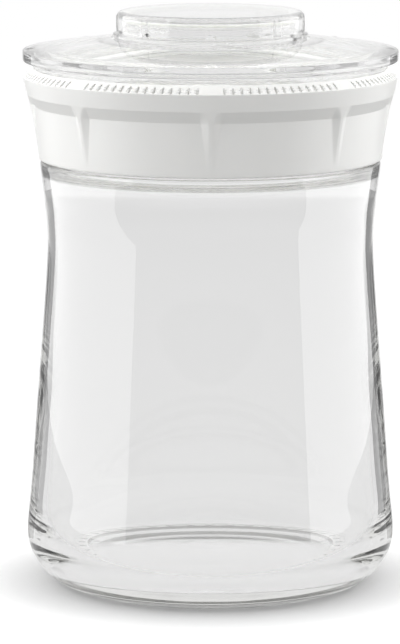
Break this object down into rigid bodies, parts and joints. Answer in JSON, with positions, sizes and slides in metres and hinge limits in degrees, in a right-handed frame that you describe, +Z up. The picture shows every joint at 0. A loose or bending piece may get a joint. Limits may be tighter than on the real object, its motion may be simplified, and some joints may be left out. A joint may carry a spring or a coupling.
{
  "type": "kefir fermentation jar",
  "caption": "Waisted clear glass jar with a screw-on white straining ring, a clear screw lid and a small screw cap, for fermenting and straining kefir.",
  "frame": {"origin": "centre of the foot, on the surface that the jar stands on", "axes": "+Z up along the jar's axis, -Y towards the front of the picture, where a rib, a grip ridge and a cap rib line up, +X to the right"},
  "size_m": [0.1102, 0.1102, 0.17],
  "materials": {
    "clear_glass": "fire-polished clear soda-lime glass",
    "white_plastic": "satin moulded white polypropylene",
    "clear_plastic": "glossy moulded clear copolyester",
    "silicone": "soft translucent silicone"
  },
  "bodies": {
    "jar": {"glass_jar": "clear_glass"},
    "gasket": {"jar_gasket": "silicone"},
    "ring": {"strainer_ring": "white_plastic"},
    "lid_seal": {"lid_seal": "silicone"},
    "lid": {"lid": "clear_plastic"},
    "cap_seal": {"cap_seal": "silicone"},
    "cap": {"cap": "clear_plastic"}
  },
  "joints": [
    {"name": "ring_lift", "type": "slide", "parent": "jar", "child": "gasket", "axis": [0, 0, 1], "range_m": [0, 0.0145]},
    {"name": "ring_turn", "type": "hinge", "parent": "gasket", "child": "ring", "pos_m": [0, 0, 0.135], "axis": [0, 0, 1], "range_deg": [0, 520]},
    {"name": "lid_lift", "type": "slide", "parent": "ring", "child": "lid_seal", "axis": [0, 0, 1], "range_m": [0, 0.009]},
    {"name": "lid_turn", "type": "hinge", "parent": "lid_seal", "child": "lid", "pos_m": [0, 0, 0.148], "axis": [0, 0, 1], "range_deg": [0, 400]},
    {"name": "cap_lift", "type": "slide", "parent": "lid", "child": "cap_seal", "axis": [0, 0, 1], "range_m": [0, 0.0056]},
    {"name": "cap_turn", "type": "hinge", "parent": "cap_seal", "child": "cap", "pos_m": [0, 0, 0.165], "axis": [0, 0, 1], "range_deg": [0, 330]}
  ],
  "couplings": [
    {"joint": "ring_lift", "follows": "ring_turn", "m_per_rad": 0.0015915},
    {"joint": "lid_lift", "follows": "lid_turn", "m_per_rad": 0.0012732},
    {"joint": "cap_lift", "follows": "cap_turn", "m_per_rad": 0.00095493}
  ]
}
